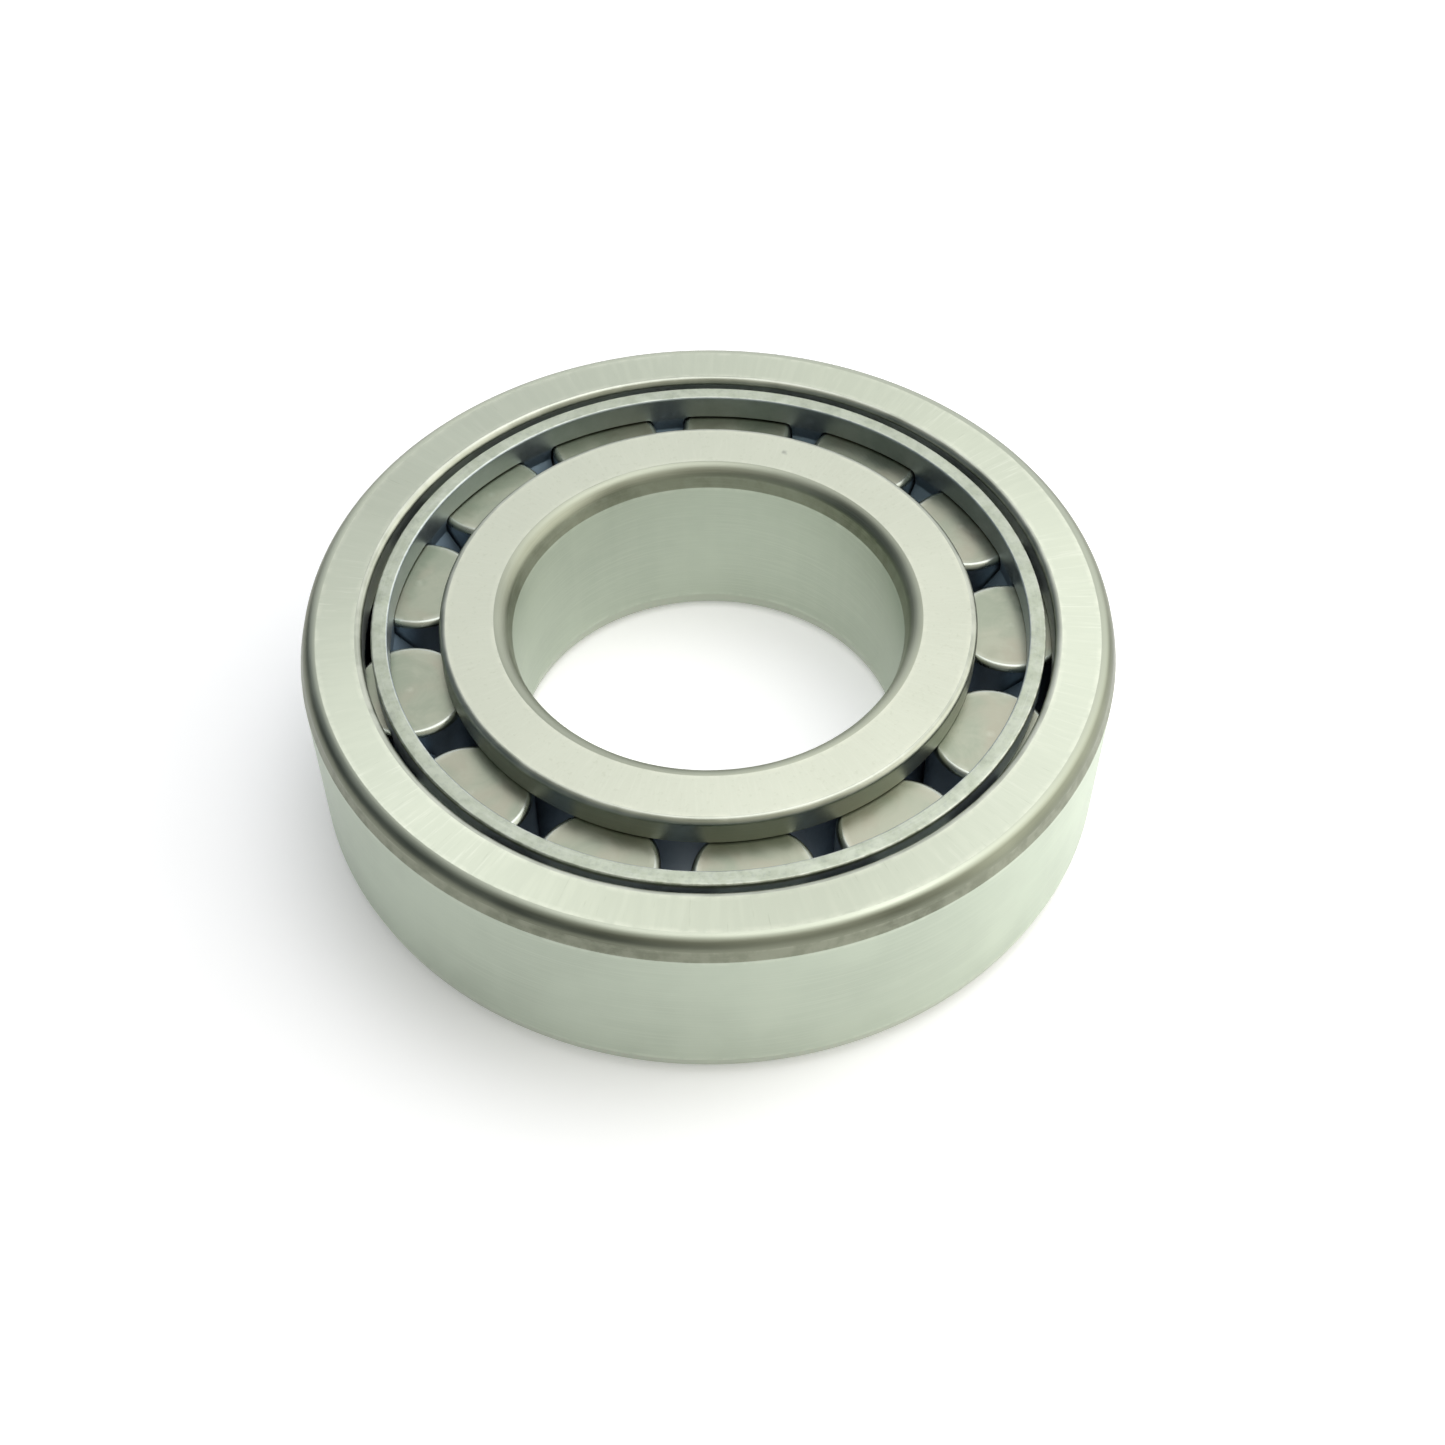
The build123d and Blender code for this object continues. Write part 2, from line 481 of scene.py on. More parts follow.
def inner_face_steel():
    """Ground side face of the inner ring, finer and warmer, with one small nick."""

    def build(n):
        clouds = n.noise(n.attribute("grain"), 0.13, 3.0, 0.5)
        fine = n.noise(across_turn(n, 110.0, 0.5), 1.0, 3.0, 0.55)
        grain = n.noise(n.attribute("grain"), 3.2, 3.0, 0.6)
        colour = n.mix(clouds, (0.448, 0.468, 0.372, 1), (0.49, 0.51, 0.41, 1))
        colour = n.mix(n.ramp(fine, 0.45, 0.75, 0.0, 0.25), colour, (0.53, 0.55, 0.45, 1))
        colour = n.mix(n.ramp(grain, 0.42, 0.3, 0.0, 0.22), colour, (0.34, 0.355, 0.26, 1))
        nick = n.vector("DISTANCE", n.attribute("local"), NICK_PLACE, output="Value")
        nick = n.maths("ADD", nick, n.maths("MULTIPLY", n.noise(n.attribute("local"), 4.0, 3.0), 0.35))
        mark = n.ramp(nick, *NICK_FADE)
        colour = n.mix(n.maths("MULTIPLY", mark, 0.6), colour, (0.22, 0.23, 0.2, 1))
        colour = worn(n, colour, (0.58, 0.59, 0.47, 1), 0.45)
        roughness = n.ramp(clouds, 0.3, 0.7, 0.28, 0.34)
        return colour, roughness, n.bump(n.maths("ADD", n.maths("SUBTRACT", fine, mark), grain), 0.004)

    return metal("inner_face_steel", build)


def corner_steel(name, dark, light, streak, shoulder, roughness_low, roughness_high):
    """Turned corner, browned by heat treatment, with lines round the axis. It is lighter on the shoulder at
    the upper face, and the lower corner is painted lighter: painted light that takes out the dark reflection
    of the shaded floor."""

    def build(n):
        clouds = n.noise(n.attribute("grain"), 0.12, 2.0, 0.5)
        lines = n.noise(along_turn(n, 2.5, 9.0), 1.0, 3.0, 0.6)
        colour = n.mix(n.ramp(clouds, 0.28, 0.72), dark, light)
        colour = n.mix(n.ramp(lines, 0.4, 0.68, 0.0, 0.25), colour, streak)
        colour = worn(n, colour, (0.48, 0.5, 0.4, 1), 0.3)
        _radius, _direction, z = polar(n)
        colour = n.mix(n.ramp(z, *SHOULDER_FADE, 0.0, shoulder), colour, (0.44, 0.47, 0.37, 1))
        # Painted light: the lower corner gets a brighter colour than the rest of the same steel
        bright = n.mix(clouds, (0.42, 0.46, 0.38, 1), (0.54, 0.58, 0.49, 1))
        colour = n.mix(n.ramp(z, *LOWER_CORNER_PAINTED_LIGHT_FADE), colour, bright)
        roughness = n.maths("ADD", n.ramp(clouds, 0.3, 0.7, roughness_low, roughness_high),
                            n.ramp(lines, 0.4, 0.7, 0.0, 0.06))
        return colour, roughness, n.bump(lines, 0.006)

    return metal(name, build, anisotropy=0.78, turned=True)


def seat_steel():
    """Ground bore or outside diameter, with hair lines round the axis."""

    def build(n):
        clouds = n.noise(n.attribute("grain"), 0.12, 3.0, 0.5)
        lines = n.noise(along_turn(n, 3.0, 11.0), 1.0, 4.0, 0.65)
        chatter = n.noise(across_turn(n, 14.0, 0.02), 1.0, 2.0, 0.5)
        colour = n.mix(n.ramp(clouds, 0.3, 0.7), (0.445, 0.5, 0.41, 1), (0.52, 0.58, 0.48, 1))
        colour = n.mix(n.ramp(lines, 0.42, 0.7, 0.0, 0.35), colour, (0.62, 0.67, 0.57, 1))
        colour = n.mix(n.ramp(chatter, 0.4, 0.7, 0.0, 0.08), colour, (0.58, 0.62, 0.52, 1))
        colour = worn(n, colour, (0.66, 0.7, 0.6, 1), 0.5)
        roughness = n.maths("ADD", n.ramp(clouds, 0.3, 0.7, 0.37, 0.43), n.ramp(lines, 0.4, 0.7, 0.0, 0.05))
        return colour, roughness, n.bump(lines, 0.003)

    return metal("seat_steel", build, anisotropy=0.8, turned=True)


def rib_steel(name, dark, light):
    """Turned side or bore of a rib, in the recess between the rings."""

    def build(n):
        clouds = n.noise(n.attribute("grain"), 0.2, 3.0, 0.55)
        lines = n.noise(along_turn(n, 2.0, 12.0), 1.0, 3.0, 0.6)
        colour = n.mix(clouds, dark, light)
        colour = n.mix(n.ramp(lines, 0.45, 0.7, 0.0, 0.3), colour, (0.52, 0.53, 0.44, 1))
        return colour, n.ramp(clouds, 0.3, 0.7, 0.42, 0.5), n.bump(lines, 0.004)

    return metal(name, build)


def rib_edge_steel():
    """The brighter radius where a rib meets the side face."""

    def build(n):
        clouds = n.noise(n.attribute("grain"), 0.25, 3.0, 0.6, warp=0.5)
        lines = n.noise(along_turn(n, 2.0, 14.0), 1.0, 3.0, 0.6)
        colour = n.mix(n.ramp(clouds, 0.35, 0.65), (0.31, 0.33, 0.265, 1), (0.44, 0.46, 0.38, 1))
        colour = n.mix(n.ramp(lines, 0.42, 0.68, 0.0, 0.4), colour, (0.52, 0.54, 0.45, 1))
        return colour, n.ramp(clouds, 0.3, 0.7, 0.3, 0.4), n.bump(lines, 0.004)

    return metal("rib_edge_steel", build)


def raceway_steel():
    """Honed raceway with a polished track where the rollers run, in a bluish colour that is painted shade."""

    def build(n):
        _radius, _direction, z = polar(n)
        lines = n.noise(along_turn(n, 4.0, 16.0), 1.0, 4.0, 0.6)
        clouds = n.noise(n.attribute("grain"), 0.3, 3.0, 0.5)
        track = n.ramp(n.maths("ABSOLUTE", z), *TRACK_FADE)
        # Painted shade: the bluish tint stands for the blue shadow light deep in the bearing
        colour = n.mix(clouds, (0.42, 0.5, 0.57, 1), (0.52, 0.58, 0.65, 1))
        colour = n.mix(n.maths("MULTIPLY", track, 0.5), colour, (0.58, 0.64, 0.7, 1))
        roughness = n.maths("ADD", n.ramp(track, 0.0, 1.0, 0.46, 0.4), n.ramp(lines, 0.4, 0.7, 0.0, 0.06))
        return colour, roughness, n.bump(lines, 0.002)

    return metal("raceway_steel", build)


def groove_steel():
    """Turned relief groove beside a raceway, left dark."""

    def build(n):
        lines = n.noise(along_turn(n, 2.0, 14.0), 1.0, 3.0, 0.6)
        clouds = n.noise(n.attribute("grain"), 0.8, 3.0, 0.6)
        colour = n.mix(clouds, (0.1, 0.1, 0.1, 1), (0.2, 0.2, 0.18, 1))
        colour = n.mix(n.ramp(lines, 0.45, 0.7, 0.0, 0.4), colour, (0.3, 0.29, 0.26, 1))
        return colour, n.ramp(clouds, 0.3, 0.7, 0.4, 0.55), n.bump(lines, 0.008)

    return metal("groove_steel", build)


def cage_steel():
    """Pressed sheet steel: satin, faintly mottled, with drawing lines and brighter rubbed edges. Its bore and
    what lies between its rims are oily steel with a bluish colour that is painted shade; there its outside is
    painted lighter, as painted light in the narrow gap under the outer rib, and it is painted darker and is
    rougher at the pockets and bars, as painted shade."""

    def build(n):
        clouds = n.noise(n.attribute("grain"), 0.35, 4.0, 0.6)
        mottle = n.noise(n.attribute("grain"), 2.6, 4.0, 0.65)
        lines = n.noise(along_turn(n, 3.0, 6.0), 1.0, 3.0, 0.6)
        colour = n.mix(n.ramp(clouds, 0.3, 0.7), (0.322, 0.352, 0.27, 1), (0.38, 0.415, 0.32, 1))
        colour = n.mix(n.ramp(mottle, 0.5, 0.35, 0.0, 0.25), colour, (0.2, 0.23, 0.215, 1))
        colour = n.mix(n.ramp(lines, 0.5, 0.72, 0.0, 0.3), colour, (0.46, 0.49, 0.41, 1))
        colour = worn(n, colour, (0.82, 0.84, 0.77, 1), 0.85)
        radius, _direction, z = polar(n)
        from_middle = n.maths("ABSOLUTE", z)
        inside = n.maths("MAXIMUM", n.ramp(radius, *CAGE_BORE_FADE), n.ramp(from_middle, *CAGE_RIM_FADE))
        # The bluish colour of the oily inside is painted shade: the blue of the shadow light inside the
        # bearing
        oily_blue_shade = n.mix(n.ramp(clouds, 0.3, 0.7), (0.44, 0.5, 0.51, 1), (0.52, 0.58, 0.59, 1))
        # Painted light: the sheet's outside between the rims is lighter, to light the narrow gap under the
        # outer ring's rib
        oily_blue_shade = n.mix(n.ramp(radius, *CAGE_SKIN_PAINTED_LIGHT_FADE), oily_blue_shade, (0.58, 0.65, 0.7, 1))
        # Painted shade: darker and bluer at the pockets and bars
        pocket_shade = n.ramp(from_middle, *CAGE_PAINTED_SHADE_FADE)
        oily_blue_shade = n.mix(pocket_shade, oily_blue_shade, (0.25, 0.33, 0.4, 1))
        colour = n.mix(inside, colour, oily_blue_shade)
        roughness = n.maths("ADD", n.ramp(clouds, 0.3, 0.7, 0.38, 0.45), n.ramp(mottle, 0.35, 0.6, 0.05, 0.0))
        extra = n.ramp(pocket_shade, 0.0, 1.0, 0.03, 0.2)
        roughness = n.maths("ADD", roughness, n.maths("MULTIPLY", inside, extra))
        height = n.maths("ADD", lines, n.maths("MULTIPLY", mottle, 0.6))
        return colour, roughness, n.bump(height, 0.006)

    return metal("cage_steel", build)


def roller_end_steel():
    """Lapped roller end: fine turned rings, soft tinted blotches and a thin oil haze."""

    def build(n):
        radius, _direction, _z = polar(n)
        blotches = n.noise(n.attribute("grain"), 0.34, 3.0, 0.6, warp=0.7)
        tint = n.noise(n.attribute("grain"), 0.22, 2.0, 0.5, warp=0.4)
        rings = n.noise(n.join(0.0, 0.0, n.maths("MULTIPLY", radius, 6.0)), 1.0, 3.0, 0.6)
        colour = n.mix(n.ramp(tint, 0.38, 0.62), (0.27, 0.3, 0.225, 1), (0.32, 0.315, 0.24, 1))
        colour = n.mix(n.ramp(blotches, 0.35, 0.68, 0.0, 0.7), colour, (0.345, 0.36, 0.275, 1))
        colour = n.mix(n.ramp(rings, 0.45, 0.7, 0.0, 0.1), colour, (0.42, 0.43, 0.33, 1))
        colour = worn(n, colour, (0.52, 0.53, 0.43, 1), 0.4)
        roughness = n.maths("ADD", n.ramp(blotches, 0.3, 0.7, 0.28, 0.36), n.ramp(rings, 0.4, 0.7, 0.0, 0.03))
        return colour, roughness, n.bump(rings, 0.0006)

    return metal("roller_end_steel", build)


def roller_edge_steel():
    """Rounded corner of a roller, tumbled to a soft satin."""

    def build(n):
        clouds = n.noise(n.attribute("grain"), 0.8, 3.0, 0.5)
        lines = n.noise(along_turn(n, 2.0, 12.0), 1.0, 3.0, 0.6)
        colour = n.mix(clouds, (0.36, 0.39, 0.33, 1), (0.44, 0.465, 0.4, 1))
        colour = n.mix(n.ramp(lines, 0.45, 0.7, 0.0, 0.3), colour, (0.5, 0.52, 0.45, 1))
        return colour, n.ramp(clouds, 0.3, 0.7, 0.25, 0.33), n.bump(lines, 0.002)

    return metal("roller_edge_steel", build)


def roller_side_steel():
    """Honed roller barrel, with a bluish colour that is painted shade."""

    def build(n):
        clouds = n.noise(n.attribute("grain"), 0.4, 3.0, 0.5)
        lines = n.noise(along_turn(n, 2.0, 10.0), 1.0, 4.0, 0.6)
        # Painted shade: the bluish tint stands for the blue shadow light between the rollers
        colour = n.mix(clouds, (0.36, 0.43, 0.49, 1), (0.44, 0.5, 0.55, 1))
        colour = n.mix(n.ramp(lines, 0.45, 0.72, 0.0, 0.25), colour, (0.46, 0.5, 0.52, 1))
        return colour, n.ramp(lines, 0.3, 0.7, 0.38, 0.45), n.bump(lines, 0.0015)

    return metal("roller_side_steel", build)


def floor_paint():
    """Plain pale floor with the faintest grain. It glows a little: outside the bearing, where it is brighter
    on the right and further out, in the bore, and under the rings. Its places are in metres."""
    material = bpy.data.materials.new("floor_paint")
    material.use_nodes = True
    n = Nodes(material.node_tree)
    place = n.add("TexCoord").outputs["Object"]
    grain = n.noise(place, 90.0, 3.0, 0.5)
    shader = n.add("BsdfPrincipled")
    n.put(shader.inputs["Base Color"], n.mix(grain, (0.9, 0.9, 0.895, 1), (0.925, 0.925, 0.92, 1)))
    n.put(shader.inputs["Roughness"], n.ramp(grain, 0.3, 0.7, 0.75, 0.85))
    shader.inputs["Specular IOR Level"].default_value = 0.1
    shader.inputs["Emission Color"].default_value = (1.0, 1.0, 1.0, 1.0)
    x, y, _z = n.split(place)
    from_axis = n.vector("LENGTH", n.join(x, y, 0.0), output="Value")
    in_ring, past_ring = (OUTSIDE_RADIUS - 1) * MM, (OUTSIDE_RADIUS + 1) * MM
    outside = n.ramp(x, -FLOOR_GLOW_REACH, FLOOR_GLOW_REACH, FLOOR_GLOW_LEFT, FLOOR_GLOW_RIGHT)
    outside = n.maths("MULTIPLY", outside, n.ramp(from_axis, in_ring, past_ring))
    outside = n.maths("MULTIPLY", outside, n.ramp(from_axis, *FLOOR_GLOW_FAR_FADE, 1.0, FLOOR_GLOW_FAR))
    in_bore, past_bore = BORE_RADIUS * MM, (BORE_RADIUS + 1) * MM
    under = n.ramp(from_axis, in_bore, past_bore, FLOOR_GLOW_IN_BORE, FLOOR_GLOW_UNDER)
    under = n.maths("MULTIPLY", under, n.ramp(from_axis, past_ring, in_ring))
    n.put(shader.inputs["Emission Strength"], n.maths("ADD", outside, under))
    n.output(shader)
    return material


# ---------------------------------------------------------------- rings

FACE, CORNER, SEAT, RIB, RIB_EDGE, RACEWAY, GROOVE = range(7)


def build_outer_ring(materials):
    """Outer ring: lead corners outside, and a raceway between two ribs inside."""
    cone = OUTSIDE_RADIUS - CORNER_DEPTH
    half = [
        (OUTSIDE_RADIUS, HALF_SEAT, SEAT_EDGE_RADIUS, SEAT, CORNER),
        (cone, HALF_WIDTH, CORNER_RADIUS, CORNER, FACE),
        (OUTER_RIB_RADIUS, HALF_WIDTH, RIB_EDGE_RADIUS, RIB_EDGE, RIB),
        (OUTER_RIB_RADIUS, HALF_RACEWAY, RIB_INNER_EDGE, RIB, RIB),
        (OUTER_RACEWAY_RADIUS, HALF_RACEWAY, -RELIEF_GROOVE_RADIUS, GROOVE, RACEWAY),
    ]
    mirrored = [(r, -z, radius, corner_slot, None) for r, z, radius, corner_slot, _side in reversed(half)]
    sides = [RIB, RIB, FACE, CORNER, SEAT]
    corners = half + [(*corner[:4], side) for corner, side in zip(mirrored, sides)]
    mesh = turned_mesh("outer_ring_turned", outline(corners), OUTER_RING_STEPS)
    piece = new_piece("ring_outer", mesh, materials, "outer_ring")
    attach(piece, "outer_ring")


def build_inner_ring(materials):
    """Inner ring: bore with lead corners, one rib at the +Z end and a plain far end."""
    cone = BORE_RADIUS + CORNER_DEPTH
    corners = [
        (BORE_RADIUS, HALF_SEAT, SEAT_EDGE_RADIUS, SEAT, SEAT),
        (BORE_RADIUS, -HALF_SEAT, SEAT_EDGE_RADIUS, SEAT, CORNER),
        (cone, -HALF_WIDTH, CORNER_RADIUS, CORNER, FACE),
        (INNER_RACEWAY_RADIUS, -HALF_WIDTH, RACEWAY_END_RADIUS, RIB_EDGE, RACEWAY),
        (INNER_RACEWAY_RADIUS, HALF_RACEWAY, -RELIEF_GROOVE_RADIUS, GROOVE, RIB),
        (INNER_RIB_RADIUS, HALF_RACEWAY, RIB_INNER_EDGE, RIB, RIB),
        (INNER_RIB_RADIUS, HALF_WIDTH, RIB_EDGE_RADIUS, RIB_EDGE, FACE),
        (cone, HALF_WIDTH, CORNER_RADIUS, CORNER, CORNER),
    ]
    mesh = turned_mesh("inner_ring_turned", outline(corners), INNER_RING_STEPS)
    piece = new_piece("ring_inner", mesh, materials, "inner_ring")
    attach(piece, "inner_ring")


# ---------------------------------------------------------------- rollers

ROLLER_END, ROLLER_SIDE, ROLLER_EDGE = range(3)


def build_rollers(materials):
    """One honed cylinder with rounded ends in each pocket. Each has its own grain."""
    chance = random.Random(GRAIN_SEED)
    corners = [
        (0.0, -ROLLER_HALF_LENGTH, 0.0, ROLLER_END, ROLLER_END),
        (ROLLER_RADIUS, -ROLLER_HALF_LENGTH, ROLLER_CORNER, ROLLER_EDGE, ROLLER_SIDE),
        (ROLLER_RADIUS, ROLLER_HALF_LENGTH, ROLLER_CORNER, ROLLER_EDGE, ROLLER_END),
        (0.0, ROLLER_HALF_LENGTH, 0.0, ROLLER_END, ROLLER_END),
    ]
    sections = outline(corners, closed=False)
    for number, name in enumerate(ROLLER_NAMES):
        shift = tuple(chance.uniform(-GRAIN_SPREAD, GRAIN_SPREAD) for _axis in range(3))
        mesh = turned_mesh(name + "_honed", sections, ROLLER_STEPS, closed=False, shift=shift)
        piece = new_piece("bearing_" + name, mesh, materials, name)
        angle = number * ROLLER_STEP
        place = Vector((math.cos(angle), math.sin(angle), 0.0)) * PITCH_RADIUS * MM
        piece.matrix_world = Matrix.Translation(place) @ Matrix.Rotation(angle, 4, "Z")
        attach(piece, name)


# ---------------------------------------------------------------- cage

def bar_path():
    """Middle line of a bar, from its root at -Z to its root at +Z: points (r, z) and their normals."""
    slope_foot = BAR_HALF_LAND + BAR_PRESS_DEPTH
    land_radius = CAGE_MIDDLE_RADIUS - BAR_PRESS_DEPTH
    corners = [
        (CAGE_MIDDLE_RADIUS, -POCKET_ROOT, 0.0, 0, 0),
        (CAGE_MIDDLE_RADIUS, -slope_foot, BAR_BEND_RADIUS, 0, 0),
        (land_radius, -BAR_HALF_LAND, BAR_BEND_RADIUS, 0, 0),
        (land_radius, BAR_HALF_LAND, BAR_BEND_RADIUS, 0, 0),
        (CAGE_MIDDLE_RADIUS, slope_foot, BAR_BEND_RADIUS, 0, 0),
        (CAGE_MIDDLE_RADIUS, POCKET_ROOT, 0.0, 0, 0),
    ]
    path = []
    for section in outline(corners, closed=False):
        for point, normal in zip(section["points"], section["normals"]):
            if not path or math.dist(path[-1][0], point) > BAR_PATH_STEP:
                path.append((point, normal))
    return path


def half_between_pockets(radius):
    """Half of the angle that two pockets leave between them at a radius."""
    return ROLLER_STEP / 2 - math.asin(POCKET_HALF_WIDTH / radius)


def bar_half_angle(radius):
    """Half of the angle that a bar fills at a radius: what the pockets leave, and clear of the rollers."""
    cosine = math.cos(ROLLER_STEP / 2)
    gap = math.sqrt(radius**2 + PITCH_RADIUS**2 - 2 * radius * PITCH_RADIUS * cosine) - ROLLER_RADIUS
    return min(half_between_pockets(radius), math.asin((gap - BAR_CLEARANCE) / radius))


def pocket_columns():
    """Half of a pocket's end edge, from its middle to its side, as points (across, height)."""
    flat = POCKET_HALF_WIDTH - POCKET_CORNER
    columns = [(flat * i / POCKET_STEPS, POCKET_HALF_LENGTH) for i in range(POCKET_STEPS)]
    for i in range(POCKET_STEPS):
        turn = math.pi / 2 * i / (POCKET_STEPS - 1)
        across = flat + POCKET_CORNER * math.sin(turn)
        columns.append((across, POCKET_ROOT + POCKET_CORNER * math.cos(turn)))
    return columns


def rim_heights(low):
    """Heights in the rim, from the cage's end down to the edge of a pocket."""
    return [CAGE_HALF_LENGTH + (low - CAGE_HALF_LENGTH) * share for share in RIM_STOPS]


def cage_point(mesh, radius, angle, z):
    """A new point of the sheet, from its place in millimetres about the cage's axis."""
    return mesh.verts.new((radius * math.cos(angle) * MM, radius * math.sin(angle) * MM, z * MM))


def pocket_rims(mesh):
    """For each pocket, the columns of points in the two rims past its ends, by surface and end."""
    half_columns = pocket_columns()
    across = [(-x, z) for x, z in reversed(half_columns[1:])] + half_columns
    pockets = []
    for number in range(len(ROLLER_NAMES)):
        middle = number * ROLLER_STEP
        rims = {}
        for surface in SHEET_SURFACES:
            radius = CAGE_MIDDLE_RADIUS + surface
            for end in (1, -1):
                columns = []
                for x, z_edge in across:
                    angle = middle + math.asin(x / radius)
                    columns.append([cage_point(mesh, radius, angle, end * z) for z in rim_heights(z_edge)])
                rims[surface, end] = columns
        pockets.append(rims)
    return pockets


def bar_rims_and_rows(mesh, pockets):
    """For each bar, the columns of points in the rims past its ends, and its own rows of points from the
    rim at -Z to the one at +Z."""
    path = bar_path()
    bars = []
    for number in range(len(ROLLER_NAMES)):
        middle = (number + 0.5) * ROLLER_STEP
        following = pockets[(number + 1) % len(ROLLER_NAMES)]
        rims, rows = {}, {}
        for surface in SHEET_SURFACES:
            radius = CAGE_MIDDLE_RADIUS + surface
            half = half_between_pockets(radius)
            for end in (1, -1):
                columns = [pockets[number][surface, end][-1]]
                for share in BAR_STOPS[1:-1]:
                    angle = middle + half * share
                    heights = rim_heights(POCKET_ROOT)
                    columns.append([cage_point(mesh, radius, angle, end * z) for z in heights])
                columns.append(following[surface, end][0])
                rims[surface, end] = columns
            lines = [[column[-1] for column in rims[surface, -1]]]
            for (r, z), (normal_r, normal_z) in path[1:-1]:
                r, z = r + normal_r * surface, z + normal_z * surface
                spread = bar_half_angle(r)
                lines.append([cage_point(mesh, r, middle + spread * share, z) for share in BAR_STOPS])
            lines.append([column[-1] for column in rims[surface, 1]])
            rows[surface] = lines
        bars.append((rims, rows))
    return bars


def add_grid(mesh, lines, flip):
    """Faces between neighbouring lines of points."""
    for a, b in zip(lines, lines[1:]):
        for i in range(len(a) - 1):
            ring = [a[i], a[i + 1], b[i + 1], b[i]]
            mesh.faces.new(reversed(ring) if flip else ring)


def add_wall(mesh, weight, outside, inside, share, flip):
    """Joins the two surfaces along an edge, and marks its two edges for rounding."""
    add_grid(mesh, (outside, inside), flip)
    for line in (outside, inside):
        for a, b in zip(line, line[1:]):
            edge = mesh.edges.get((a, b))
            edge[weight] = share


def add_sheet(mesh, weight, pockets, bars):
    """The faces of the cage: its two surfaces, the ends of its rims, and the walls of its pockets."""
    outer, inner = SHEET_SURFACES
    window_share = CAGE_WINDOW_EDGE / CAGE_RIM_EDGE
    for rims in pockets:
        for surface in SHEET_SURFACES:
            for end in (1, -1):
                add_grid(mesh, rims[surface, end], (surface > 0) == (end > 0))
    for rims, rows in bars:
        for surface in SHEET_SURFACES:
            for end in (1, -1):
                add_grid(mesh, rims[surface, end], (surface > 0) == (end > 0))
            add_grid(mesh, rows[surface], surface < 0)
    for rims in pockets:
        for end in (1, -1):
            for place, share, flip in ((0, 1.0, end > 0), (-1, window_share, end < 0)):
                outside = [column[place] for column in rims[outer, end]]
                inside = [column[place] for column in rims[inner, end]]
                add_wall(mesh, weight, outside, inside, share, flip)
    for rims, rows in bars:
        for end in (1, -1):
            outside = [column[0] for column in rims[outer, end]]
            inside = [column[0] for column in rims[inner, end]]
            add_wall(mesh, weight, outside, inside, 1.0, end > 0)
        for side in (0, -1):
            outside = [line[side] for line in rows[outer]]
            inside = [line[side] for line in rows[inner]]
            add_wall(mesh, weight, outside, inside, window_share, side < 0)
    bmesh.ops.recalc_face_normals(mesh, faces=mesh.faces)


def round_edges(piece):
    """Rounds the marked edges of a piece, keeps its flat faces flat, and returns its new mesh."""
    bevel = piece.modifiers.new("rounded_edges", "BEVEL")
    bevel.limit_method = "WEIGHT"
    bevel.width = CAGE_RIM_EDGE * MM
    bevel.segments = BEVEL_STEPS
    weighted = piece.modifiers.new("flat_faces", "WEIGHTED_NORMAL")
    weighted.keep_sharp = True
    graph = bpy.context.evaluated_depsgraph_get()
    rounded = bpy.data.meshes.new_from_object(
        piece.evaluated_get(graph), preserve_all_data_layers=True, depsgraph=graph)
    rounded.name = "cage_pressed"
    piece.modifiers.clear()
    piece.data = rounded
    return rounded


def build_cage(material):
    """Pressed cage: a sleeve with a rounded pocket for each roller, and bars pressed in to the pitch
    circle."""
    mesh = bmesh.new()
    weight = mesh.edges.layers.float.new("bevel_weight_edge")
    pockets = pocket_rims(mesh)
    bars = bar_rims_and_rows(mesh, pockets)
    add_sheet(mesh, weight, pockets, bars)
    sheet = bpy.data.meshes.new("cage_sheet")
    mesh.to_mesh(sheet)
    mesh.free()
    sheet.polygons.foreach_set("use_smooth", [True] * len(sheet.polygons))
    piece = new_piece("cage_pressed", sheet, [material], "cage")
    rounded = round_edges(piece)
    store_texture_space(rounded, cage_wear(rounded))
    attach(piece, "cage")


def cage_wear(mesh):
    """Wear of the cage: 1 on the four edges of its rims, and 0 from CAGE_RIM_EDGE away."""
    wear = []
    for vertex in mesh.vertices:
        x, y, z = (c / MM for c in vertex.co)
        radius = math.hypot(x, y)
        from_end = CAGE_HALF_LENGTH - abs(z)
        from_skin = min(abs(radius - CAGE_OUTSIDE_RADIUS), abs(radius - CAGE_OUTSIDE_RADIUS + CAGE_SHEET))
        wear.append(max(0.0, 1 - math.hypot(from_end, from_skin) / CAGE_RIM_EDGE))
    return wear


# ---------------------------------------------------------------- stage

# Lights of the room: a direction, the cosines from it between which the light fades in, and its colour.
# Where a fade ends above 1, the light still rises at its centre.
ROOM_LIGHT = (0.125, 0.152, 0.182)
WINDOW_DIRECTION = (0.63, 0.77, 0.10)
WINDOW_FADE = (0.02, 0.55)
WINDOW_LIGHT = (1.09, 1.08, 1.13)
OVERHEAD_DIRECTION = (0.13, 0.20, 0.97)
OVERHEAD_FADE = (0.89, 1.02)
OVERHEAD_LIGHT = (2.4, 2.4, 2.65)
FILL_DIRECTION = (0.47, -0.30, 0.83)
FILL_FADE = (0.06, 1.35)
FILL_LIGHT = (0.77, 0.715, 0.565)
SIDE_DIRECTION = (0.97, 0.08, 0.20)
SIDE_FADE = (0.72, 0.95)
SIDE_LIGHT = (0.5, 0.49, 0.4)
BOUNCE_DIRECTION = (0.0, 0.0, -1.0)
BOUNCE_FADE = (0.1, 0.35)
BOUNCE_LIGHT = (0.75, 0.75, 0.75)
BACKDROP = (1.0, 1.0, 1.0, 1.0)

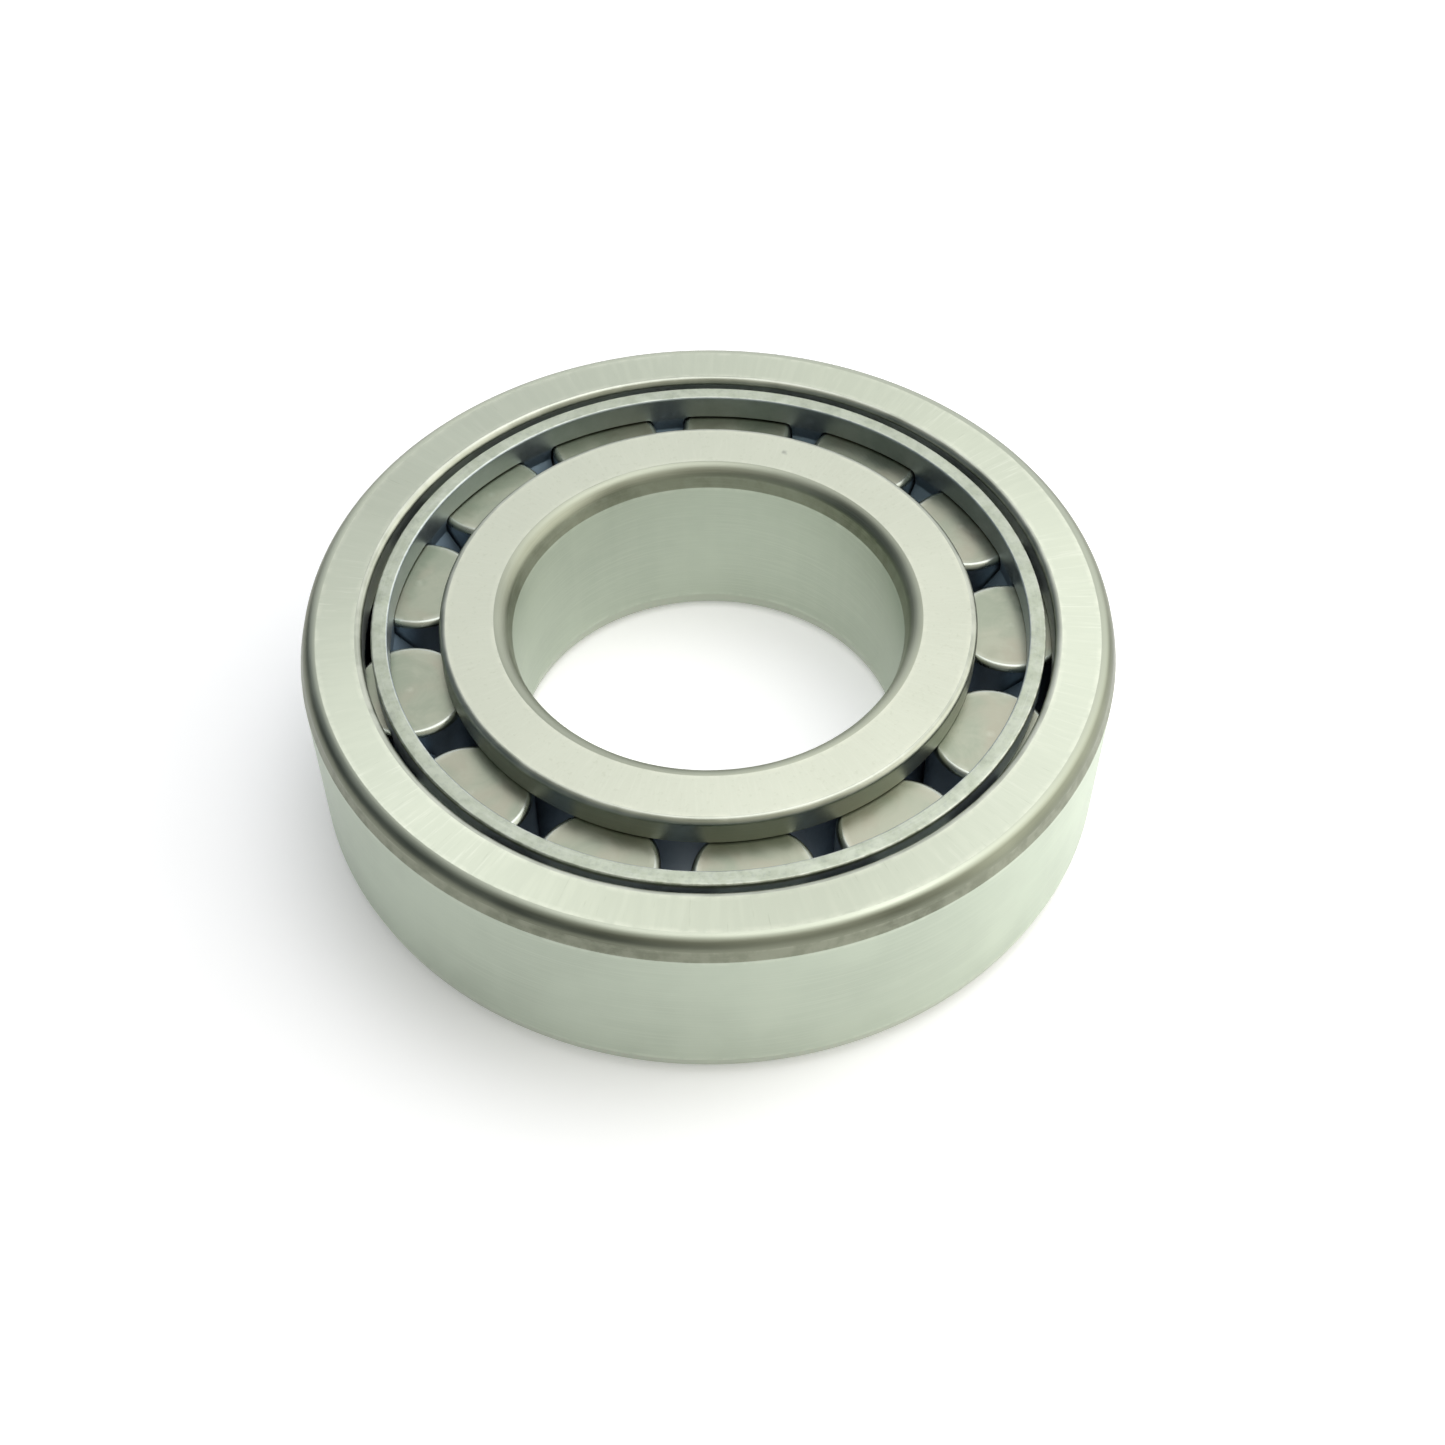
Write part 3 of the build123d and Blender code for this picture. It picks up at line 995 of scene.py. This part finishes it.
# The floor, a hair below the rings, and its glow. The height is in millimetres, and the rest in metres
# or as the strength of the glow.
FLOOR_HEIGHT = -HALF_WIDTH - 0.02
FLOOR_RADIUS = 2.2
FLOOR_RINGS = 24
FLOOR_STEPS = 96
FLOOR_GLOW_REACH = 0.06
FLOOR_GLOW_LEFT = 0.17
FLOOR_GLOW_RIGHT = 0.44
FLOOR_GLOW_FAR = 1.3
FLOOR_GLOW_FAR_FADE = (0.045, 0.065)
FLOOR_GLOW_IN_BORE = 0.45
FLOOR_GLOW_UNDER = 0.22


def build_world():
    """A dim room with a broad window low behind on the right, a soft panel overhead, a warm fill and a side
    light on the right, and the bounce of a pale floor. What the camera sees of it directly is a plain white
    backdrop."""
    world = bpy.data.worlds.new("studio")
    bpy.context.scene.world = world
    world.use_nodes = True
    n = Nodes(world.node_tree)
    direction = n.vector("NORMALIZE", n.add("TexCoord").outputs["Generated"])

    def light(toward_light, fade, colour):
        """Light from round one direction. fade is the cosine where it starts and the one where it is full."""
        facing = n.vector("DOT_PRODUCT", direction, tuple(Vector(toward_light).normalized()), output="Value")
        return n.scaled(colour, n.ramp(facing, *fade))

    sky = n.vector("ADD", ROOM_LIGHT, light(WINDOW_DIRECTION, WINDOW_FADE, WINDOW_LIGHT))
    sky = n.vector("ADD", sky, light(OVERHEAD_DIRECTION, OVERHEAD_FADE, OVERHEAD_LIGHT))
    sky = n.vector("ADD", sky, light(FILL_DIRECTION, FILL_FADE, FILL_LIGHT))
    sky = n.vector("ADD", sky, light(SIDE_DIRECTION, SIDE_FADE, SIDE_LIGHT))
    sky = n.vector("ADD", sky, light(BOUNCE_DIRECTION, BOUNCE_FADE, BOUNCE_LIGHT))
    seen = n.add("LightPath").outputs["Is Camera Ray"]
    background = n.add("Background")
    n.put(background.inputs["Color"], n.mix(seen, sky, BACKDROP))
    n.output(background, "OutputWorld")


def build_floor():
    """A wide flat disc that the bearing stands on."""
    vertices = [(0.0, 0.0, FLOOR_HEIGHT * MM)]
    for i in range(1, FLOOR_RINGS + 1):
        reach = FLOOR_RADIUS * (i / FLOOR_RINGS) ** 2
        for j in range(FLOOR_STEPS):
            a = 2 * math.pi * j / FLOOR_STEPS
            vertices.append((reach * math.cos(a), reach * math.sin(a), FLOOR_HEIGHT * MM))
    faces = [(0, 1 + j, 1 + (j + 1) % FLOOR_STEPS) for j in range(FLOOR_STEPS)]
    for i in range(FLOOR_RINGS - 1):
        a, b = 1 + i * FLOOR_STEPS, 1 + (i + 1) * FLOOR_STEPS
        for j in range(FLOOR_STEPS):
            k = (j + 1) % FLOOR_STEPS
            faces.append((a + j, b + j, b + k, a + k))
    mesh = bpy.data.meshes.new("floor")
    mesh.from_pydata(vertices, [], faces)
    mesh.materials.append(floor_paint())
    floor = bpy.data.objects.new("floor", mesh)
    bpy.context.scene.collection.objects.link(floor)


def build_camera():
    """The camera, where the photographer's was."""
    data = bpy.data.cameras.new("camera")
    data.sensor_width = CAMERA_SENSOR
    data.lens = CAMERA_LENS
    data.clip_start, data.clip_end = CAMERA_CLIP
    camera = bpy.data.objects.new("camera", data)
    turn = Matrix.Rotation(CAMERA_TURN, 4, "Z")
    tilt = Matrix.Rotation(math.pi / 2 - CAMERA_DROP, 4, "X")
    camera.matrix_world = turn @ Matrix.Translation(CAMERA_OFFSET * MM) @ tilt
    bpy.context.scene.collection.objects.link(camera)
    bpy.context.scene.camera = camera


def build_bearing():
    """Every piece of the bearing, with its materials."""
    # The two corners are one heat-browned steel in two copies: the outer ring's is painted darker, as painted
    # shade, and the inner ring's lighter, as painted light
    outer_corner_shaded = corner_steel("outer_corner_steel_shaded", (0.152, 0.163, 0.12, 1), (0.23, 0.244, 0.183, 1),
                                (0.31, 0.33, 0.25, 1), 0.8, 0.3, 0.37)
    inner_corner_lit = corner_steel("inner_corner_steel_lit", (0.213, 0.225, 0.167, 1), (0.31, 0.327, 0.25, 1),
                                (0.38, 0.395, 0.31, 1), 0.3, 0.32, 0.4)
    seat = seat_steel()
    outer_rib = rib_steel("outer_rib_steel", (0.54, 0.57, 0.53, 1), (0.66, 0.69, 0.64, 1))
    inner_rib = rib_steel("inner_rib_steel", (0.35, 0.38, 0.325, 1), (0.46, 0.48, 0.405, 1))
    rib_edge, raceway, groove = rib_edge_steel(), raceway_steel(), groove_steel()
    build_outer_ring([outer_face_steel(), outer_corner_shaded, seat, outer_rib, rib_edge, raceway, groove])
    build_inner_ring([inner_face_steel(), inner_corner_lit, seat, inner_rib, rib_edge, raceway, groove])
    build_cage(cage_steel())
    build_rollers([roller_end_steel(), roller_side_steel(), roller_edge_steel()])


build_bearing()
build_world()
build_floor()
build_camera()
bpy.context.scene.view_settings.view_transform = "Standard"
